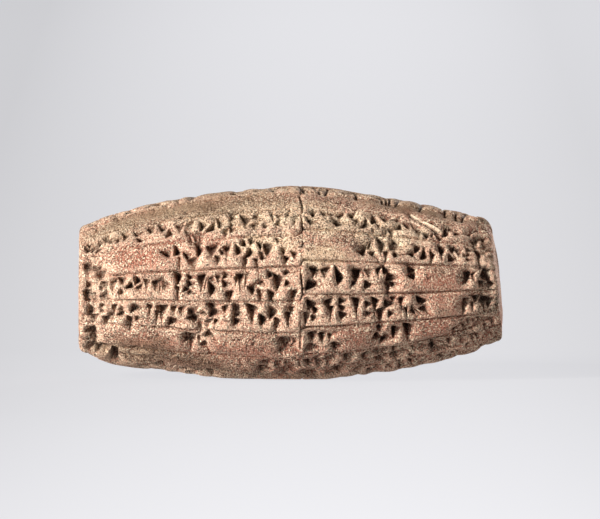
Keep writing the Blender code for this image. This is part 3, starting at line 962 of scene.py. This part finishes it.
def relief(points):  # height over the plain form, and what the clay's colour follows
    rough, calm, worn = (zone(name, points) for name in ("rough", "calm", "worn"))
    carve, lips = writeStrokes()
    angle, width = surface["rim"]
    rim = smoothStep(1 - np.abs(turnFrom(angle)) / width)[None, :]
    rimWear, roughWear = surface["rimWear"], surface["roughWear"]
    carve *= 1 - roughWear["strokes"] * rough - rimWear["strokes"] * rim
    raised, bare, shade = pressMarks(carve)
    lines, bulge = ruledLines(points)
    bulge *= 1 - rimWear["rows"] * rim
    soft = blur(np.maximum(carve, lines), surface["strokeSoftness"])
    kept = (1 - roughWear["pillows"] * rough) * (1 - rimWear["pillows"] * rim)
    pillows = pillowDepth(carve) * kept
    chips = chipDepth(points)
    swell = uneven("swell", points) + uneven("ripple", points)
    grain = uneven("grain", points) * (1 + rough) * (1 - surface["calmGrain"] * calm)
    holes = hollows("holes", points) * (surface["fewHoles"] + rough)
    height = (bulge + lips * (1 - rough) - soft - pillows - chips) * onBody
    height = height + swell + grain - holes - surface["lowering"] + raised
    start, spread = surface["behind"]
    behind = smoothStep((np.abs(turnFrom(0)) - start) / spread)[None, :]
    height += behind * (blur(height, surface["behindSoftness"]) - height)
    # raised clay is paled, partly as wear and partly as a painted highlight
    width, rise = surface["ridge"]
    ridge = np.clip((height - blur(height, width)) / rise, 0, 1)
    ends = 1 - onBody
    height -= ends * (hollows("dents", points) + uneven("endSwell", points))
    # painted shade: strokes and rulings are darkened by their depth, as shadow would darken them
    start, spread = surface["pit"]
    pit = np.clip((np.maximum(carve, surface["lineShade"] * lines) - start) / spread, 0, 1)
    least, more = surface["wornBare"]
    attributes = {
        "pit": np.maximum(pit * onBody, shade),
        "ridge": ridge * onBody,
        "bare": np.maximum(bare, worn * (least + more * lips / wedge["lip"])),
        "calm": np.maximum(calm, np.maximum(ends, surface["behindCalm"] * behind)),
        "rough": np.clip(rough + chips / surface["roughChip"], 0, 1),
    }
    for name in ("cream", "dull", "olive", "rosy"):
        attributes[name] = zone(name, points)
    return height, attributes


def buildBarrel():
    bpy.ops.object.select_all(action="DESELECT")
    bpy.ops.mesh.primitive_grid_add(x_subdivisions=grid["around"], y_subdivisions=ringCount, size=1)
    piece = bpy.context.object
    piece.name = "carved_barrel"
    mesh = piece.data
    places = np.empty(len(mesh.vertices) * 3)
    mesh.vertices.foreach_get("co", places)
    places = places.reshape(-1, 3) + 0.5
    # the flat sheet is rolled round the barrel: its y gives the ring and its x the place around
    ring = np.rint(places[:, 1] * ringCount).astype(int)
    column = np.rint(places[:, 0] * grid["around"]).astype(int) % grid["around"]
    points = barrelPoints()
    height, attributes = relief(points)
    carved = points + gridNormals(points) * height[..., None]
    carved[0] = carved[0].mean(axis=0)
    carved[-1] = carved[-1].mean(axis=0)
    carved[..., 2] = np.maximum(carved[..., 2], 0)  # the flat that it rests on
    mesh.vertices.foreach_set("co", carved[ring, column].ravel())
    for name, values in attributes.items():
        layer = mesh.attributes.new(name, "FLOAT", "POINT")
        values = np.broadcast_to(values, gridX.shape)[ring, column]
        layer.data.foreach_set("value", np.ascontiguousarray(values, dtype=np.float32))
    mesh.update()
    bpy.ops.object.mode_set(mode="EDIT")
    bpy.ops.mesh.select_all(action="SELECT")
    bpy.ops.mesh.remove_doubles(threshold=1e-7)  # closes the seam and the poles
    bpy.ops.mesh.normals_make_consistent(inside=False)
    bpy.ops.object.mode_set(mode="OBJECT")
    print("Relief ready:", len(mesh.vertices), "points")
    thin = piece.modifiers.new("thin", "DECIMATE")
    thin.ratio = grid["triangles"] / (2 * grid["around"] * (ringCount - 1))
    bpy.ops.object.modifier_apply(modifier="thin")
    bpy.ops.object.shade_smooth_by_angle(angle=math.radians(wedge["crispAngle"]))
    print("Barrel carved:", len(piece.data.polygons), "triangles")
    return piece


clay = {
    "cream": rgb(248, 230, 202),
    # shell is the pale of raised ridges: wear, and a painted highlight
    "shell": rgb(243, 210, 186),
    "brick": rgb(160, 100, 82),
    "pink": rgb(198, 158, 136),
    "rose": rgb(166, 116, 98),
    # umber is the darkest clay, and is also laid into pits, rulings, ticks and grain gaps as
    # painted shade
    "umber": rgb(62, 41, 32),
    "straw": rgb(246, 232, 200),
    "ochre": rgb(204, 178, 144),
    "dun": rgb(140, 120, 97),
    "hay": rgb(186, 162, 131),
    "brown": rgb(120, 94, 72),
    # the colours that each kind of clay runs through as its tone rises
    "plain": [(0.28, "umber"), (0.38, "rose"), (0.56, "pink"), (0.72, "cream")],
    "pale": [(0.28, "brown"), (0.42, "ochre"), (0.64, "straw")],
    "dark": [(0.28, "umber"), (0.45, "brown"), (0.66, "ochre")],
    "greyed": [(0.30, "brown"), (0.50, "dun"), (0.72, "hay")],
    # size, detail and roughness of the noise
    "speck": (0.0016, 3, 0.6),
    "patch": (0.010, 4, 0.6),
    "sand": (0.00044, 1, 0.6),
    "chinks": (0.00045, 1, 0.6),
    "dust": (0.00030, 0, 0.5),
    "toneShare": 0.5,  # how much the specks, the dust and the patches each change the tone
    "creamLift": 0.06,
    "darkening": 0.085,
    "grainRange": (0.50, 0.61),  # where the sand starts to show as pale grains, and is fully pale
    "shadedGapRange": (0.555, 0.64),  # the same for the gaps, which are sunk and get painted shade
    "roughShadedGaps": 0.04,  # how much more the gaps' painted shade shows on rough clay, and how much less on calm
    "calmShadedGaps": 0.03,
    "crustSpots": (0.4, 1.2),  # how even the crust is, and how much it follows the specks
    "crustRange": (0.15, 0.95),
    # how well each layer covers those before it
    "cover": {
        "crust": 0.55, "dull": 0.85, "olive": 0.7, "rosy": 0.78, "ridge": 0.30,
        "grains": 0.80, "gaps": 0.75, "pit": 0.85, "bare": 0.65,
    },
    "oliveRidge": 0.15,  # how much less the pale ridges, wear and painted highlight, show on olive clay
    "grainFade": 0.35,  # how much less the grains show on olive, dull and calm clay
    "roughness": 0.92,
    "specular": 0.15,
    "bumpReach": 0.00022,
}


def clayMaterial():
    shader = Shader("fired_clay")
    place = shader.add("TexCoord", {}, {}, "Object")
    noises = ("speck", "patch", "sand", "chinks", "dust")
    speck, patch, sand, chinks, dust = (shader.noise(place, *clay[name]) for name in noises)
    names = ("pit", "bare", "calm", "rough", "cream", "dull", "olive", "rosy", "ridge")
    pit, bare, calm, rough, cream, dull, olive, rosy, ridge = map(shader.attribute, names)
    grains = shader.ramp(sand, *clay["grainRange"])  # they stand proud, with sunk gaps between that are painted with shade
    gaps = chinks + clay["roughShadedGaps"] * rough - clay["calmShadedGaps"] * calm
    gaps = shader.ramp(gaps, *clay["shadedGapRange"])
    share = clay["toneShare"]
    tone = share * speck + share * dust + share * (patch - 0.5)
    tone = tone + clay["creamLift"] * cream - clay["darkening"]
    kinds = []
    for name in ("plain", "pale", "dark", "greyed"):
        stops = [(value, clay[colour]) for value, colour in clay[name]]
        kinds.append(shader.stops(tone, stops))
    plain, pale, dark, greyed = kinds
    even, spotty = clay["crustSpots"]
    crust = shader.ramp(cream * (even + spotty * speck), *clay["crustRange"])
    cover, fade = clay["cover"], clay["grainFade"]
    ridgeWearAndHighlights = ridge * (cover["ridge"] - clay["oliveRidge"] * olive)
    paleGrains = grains * (cover["grains"] - fade * olive - fade * dull - fade * calm)
    colour = shader.blend(crust * cover["crust"], plain, pale)
    colour = shader.blend(dull * cover["dull"], colour, greyed)
    colour = shader.blend(olive * cover["olive"], colour, dark)
    colour = shader.blend(rosy * cover["rosy"], colour, clay["brick"])
    # paler raised clay: wear, and a painted highlight
    colour = shader.blend(ridgeWearAndHighlights, colour, clay["shell"])
    colour = shader.blend(paleGrains, colour, clay["cream"])
    # painted shade in the sunk gaps between the grains
    colour = shader.blend(gaps * cover["gaps"], colour, clay["umber"])
    # painted shade: umber laid into the pits and rulings, darker where they are deeper
    colour = shader.blend(pit * cover["pit"], colour, clay["umber"])
    colour = shader.blend(bare * cover["bare"], colour, clay["cream"])
    height = grains - gaps + speck + dust
    bump = {"Height": height, "Strength": 1.0, "Distance": clay["bumpReach"]}
    shader.plug(shader.surface, {
        "Base Color": colour,
        "Roughness": clay["roughness"],
        "Specular IOR Level": clay["specular"],
        "Normal": shader.add("Bump", {}, bump),
    })
    return shader.material


piece = buildBarrel()
piece.data.materials.clear()
piece.data.materials.append(clayMaterial())
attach(piece, "root")
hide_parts("clay_barrel")
print("Fired clay ready")

studio = {
    "elevation": 4.0,
    "lens": 800,
    "sensor": 36,
    "imageWidth": 600,
    "imageHeight": 519,
    "metresAPixel": 0.0002642,
    "barrelMiddle": (290.75, 283.0),  # where the barrel's middle falls in the photograph
    "clip": (0.05, 30),  # the nearest and farthest that the camera sees
    "floorColour": (0.05, 0.05, 0.052, 1),
    "floorRoughness": 0.9,
    # the paper glows though it is no lamp: painted light, even in the middle, brighter in front of
    # the object, rising from left to right and darker to either side
    "floorGlow": (1.0, 1.0, 1.04, 1),
    "glowMiddle": 0.69,
    "glowFront": 0.15,  # how much brighter the paper is in front of the object
    "frontSpan": (0.1, -0.6),  # along Y, from no brighter to fully
    "glowSlope": 0.058,  # from the left of the object to the right
    "glowFall": 0.11,  # how much darker it is to either side
    "glowReach": 0.1,  # how far out the glow changes
    "reach": 6.0,  # the paper is a round bowl with a soft bend up to its wall
    "bowlSides": 96,
    "bendRadius": 1.0,
    "bendSteps": 16,
    "wallHeight": 3.0,
}


def buildFloor():
    bpy.ops.object.select_all(action="DESELECT")
    radius, bend, steps = studio["reach"], studio["bendRadius"], studio["bendSteps"]
    sides = studio["bowlSides"]
    bpy.ops.mesh.primitive_circle_add(vertices=sides, radius=radius, fill_type="NGON")
    floor = bpy.context.object
    floor.name = "studio_floor"
    bpy.ops.object.mode_set(mode="EDIT")
    bpy.ops.mesh.select_mode(type="EDGE")
    bpy.ops.mesh.select_all(action="SELECT")
    for step in range(steps):
        first, second = (math.pi / 2 * (step + part) / steps for part in (0, 1))
        wider = radius + bend * (math.sin(second) - math.sin(first))
        grow = (wider / radius, wider / radius, 1)
        bpy.ops.mesh.extrude_edges_move()
        bpy.ops.transform.resize(value=grow, center_override=(0, 0, 0))
        bpy.ops.transform.translate(value=(0, 0, bend * (math.cos(first) - math.cos(second))))
        radius = wider
    bpy.ops.mesh.extrude_edges_move()
    bpy.ops.transform.translate(value=(0, 0, studio["wallHeight"]))
    bpy.ops.object.mode_set(mode="OBJECT")
    bpy.ops.object.shade_smooth()
    shader = Shader("studio_paper")
    place = shader.add("TexCoord", {}, {}, "Object")
    across = shader.add("SeparateXYZ", {}, {"Vector": place}, "X")
    away = shader.add("SeparateXYZ", {}, {"Vector": place}, "Y")
    reach = studio["glowReach"]
    # the paper's painted light, from its glow
    glow = studio["glowMiddle"] + studio["glowFront"] * shader.ramp(away, *studio["frontSpan"])
    glow = glow + studio["glowSlope"] * (shader.ramp(across, -reach, reach) - 0.5)
    glow = glow - studio["glowFall"] * shader.ramp(across * across, 0, reach ** 2)
    shader.plug(shader.surface, {
        "Base Color": studio["floorColour"],
        "Roughness": studio["floorRoughness"],
        "Specular IOR Level": 0.0,
        "Emission Color": studio["floorGlow"],
        "Emission Strength": glow,
    })
    floor.data.materials.append(shader.material)
    floor.visible_diffuse = False  # the paper's glow doesn't wash out the raking light
    floor.visible_shadow = False


lights = {
    # place, width and height, power, and colour
    "lamps": {
        "key": ((-2.10, -1.20, 0.80), (0.10, 1.8), 192, (1.0, 0.95, 0.885)),
        "side": ((2.20, -0.25, 0.50), (0.6, 0.6), 28, (1.0, 0.95, 0.90)),
        "bounce": ((-0.60, -0.60, -0.90), (0.3, 0.8), 9, (1.0, 0.95, 0.90)),
        "top": ((0.10, 0.10, 1.40), (0.7, 0.7), 2, (1.0, 0.98, 0.94)),
        "behind": ((1.10, 2.10, 0.55), (0.9, 0.9), 75, (0.97, 0.98, 1.0)),
    },
    "worldColour": (0.92, 0.95, 1.0, 1),
    "worldStrength": 0.025,
}


def addObject(name, data):
    added = bpy.data.objects.new(name, data)
    bpy.context.scene.collection.objects.link(added)
    return added


def buildLights():
    for name, (place, (width, height), power, colour) in lights["lamps"].items():
        data = bpy.data.lights.new(name, "AREA")
        data.shape = "RECTANGLE"
        data.size = width
        data.size_y = height
        data.energy = power
        data.color = colour
        light = addObject(name, data)
        light.location = place
        towards = Vector((0, 0, barrel["bellyRadius"])) - Vector(place)
        light.rotation_euler = towards.to_track_quat("-Z", "Y").to_euler()
    world = bpy.data.worlds.new("studio")
    world.use_nodes = True
    background = world.node_tree.nodes["Background"]
    background.inputs["Color"].default_value = lights["worldColour"]
    background.inputs["Strength"].default_value = lights["worldStrength"]
    bpy.context.scene.world = world


def buildCamera():
    data = bpy.data.cameras.new("camera")
    data.lens = studio["lens"]
    data.sensor_width = studio["sensor"]
    data.clip_start, data.clip_end = studio["clip"]
    camera = addObject("camera", data)
    lift = math.radians(studio["elevation"])
    distance = studio["imageWidth"] * studio["metresAPixel"] * studio["lens"] / studio["sensor"]
    back = Vector((0, -math.cos(lift), math.sin(lift)))
    up = Vector((0, math.sin(lift), math.cos(lift)))
    across = (studio["imageWidth"] / 2 - studio["barrelMiddle"][0]) * studio["metresAPixel"]
    above = (studio["barrelMiddle"][1] - studio["imageHeight"] / 2) * studio["metresAPixel"]
    middle = Vector((across, 0, barrel["bellyRadius"] - barrel["flatDepth"]))
    camera.location = middle + back * distance + up * above
    camera.rotation_euler = (math.pi / 2 - lift, 0, 0)
    bpy.context.scene.camera = camera


buildFloor()
buildLights()
buildCamera()
bpy.context.scene.view_settings.view_transform = "Standard"
print("Floor, lights and camera ready")
